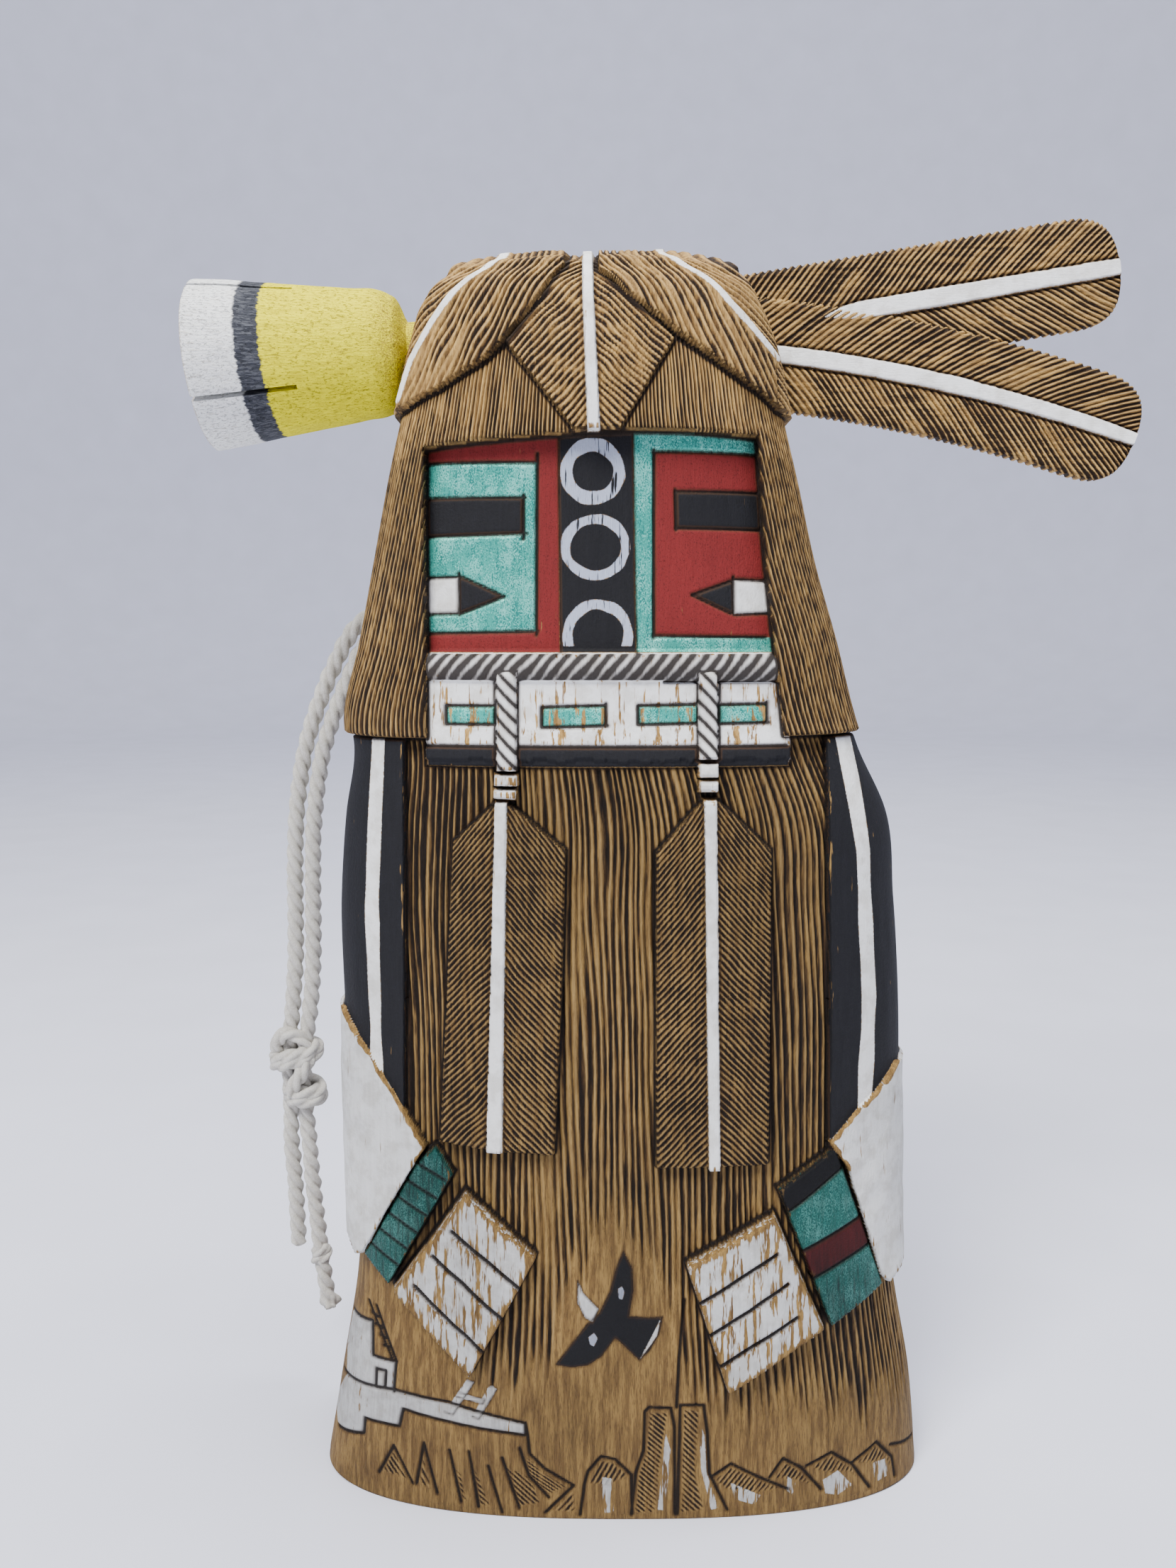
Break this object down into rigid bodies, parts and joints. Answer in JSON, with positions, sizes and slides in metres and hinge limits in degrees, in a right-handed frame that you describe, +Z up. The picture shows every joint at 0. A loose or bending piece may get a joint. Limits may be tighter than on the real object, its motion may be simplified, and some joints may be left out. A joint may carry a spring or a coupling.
{
  "type": "kachina doll",
  "caption": "Half-round carved wooden kachina doll with a relief-carved dress, painted mask, side blossom, feather pair and a hanging cord on its flat back.",
  "frame": {"origin": "middle of the base's underside", "axes": "+Z up to the head; the carved front faces -Y and the flat back +Y; +X to the viewer's right, where the feathers are"},
  "size_m": [0.179, 0.0494, 0.2448],
  "materials": {
    "carved_wood": "carved and burnt light wood, part painted in matt white, black, red and pearly turquoise",
    "painted_blossom": "matt yellow paint with a black ring and a white mouth",
    "feather_wood": "carved wood with burnt barb grooves and white painted quills",
    "cotton_cord": "twisted white cotton"
  },
  "bodies": {
    "root": {"carved_body": "carved_wood", "squash_blossom": "painted_blossom", "feather_pair": "feather_wood", "cord_strand_outer": "cotton_cord", "cord_strand_inner": "cotton_cord", "cord_knot": "cotton_cord", "cord_tail_outer": "cotton_cord", "cord_tail_inner": "cotton_cord", "cord_end_knot": "cotton_cord", "cord_tip": "cotton_cord"}
  },
  "joints": []
}
